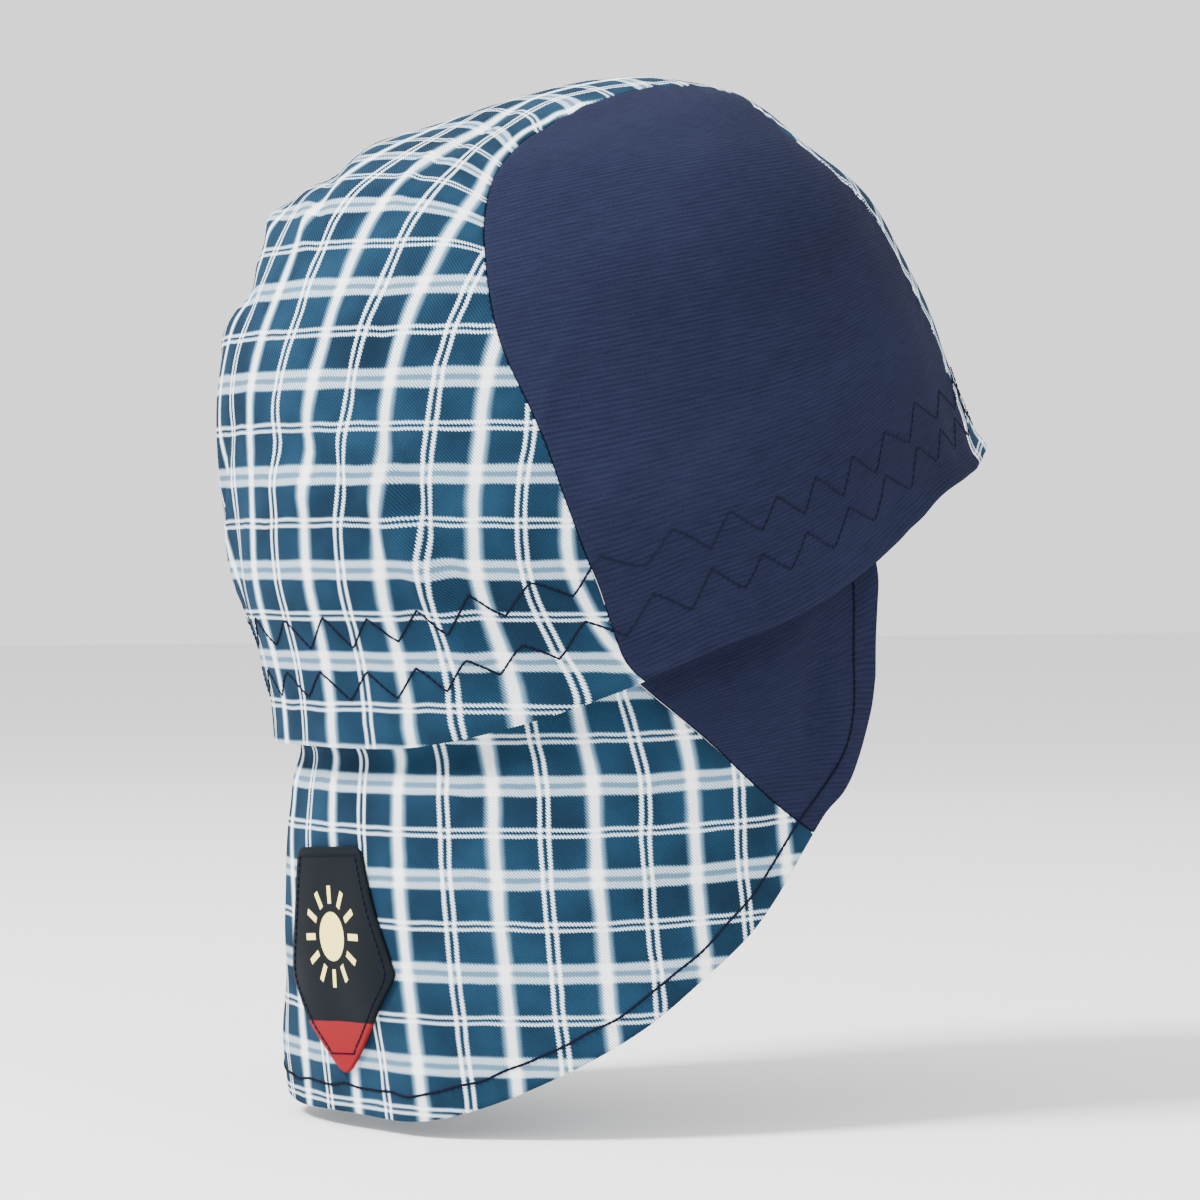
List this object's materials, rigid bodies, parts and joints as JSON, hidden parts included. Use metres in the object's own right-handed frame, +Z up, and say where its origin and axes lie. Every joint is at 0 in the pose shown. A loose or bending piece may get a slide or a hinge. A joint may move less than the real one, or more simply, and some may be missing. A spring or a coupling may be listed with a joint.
{
  "type": "welding cap",
  "caption": "Cloth welder's cap with a three-panel crown and a long neck flap that hangs from inside its rim.",
  "frame": {"origin": "centre of the head opening, at the middle of the rim", "axes": "+Z up to the top of the crown, -Y towards the forehead, +X towards the wearer's left"},
  "size_m": [0.1689, 0.2187, 0.2728],
  "materials": {
    "plaid_twill": "matte plaid cotton twill, teal blue with white lines",
    "navy_twill": "matte navy cotton with fine crosswise ribs",
    "patch": "flat printed patch, black with pale yellow and brick red"
  },
  "bodies": {
    "root": {"crown_centre": "plaid_twill", "crown_side_right": "navy_twill", "crown_side_left": "navy_twill", "flap_centre": "plaid_twill", "flap_side_right": "navy_twill", "flap_side_left": "navy_twill", "flap_patch": "patch"}
  },
  "joints": []
}
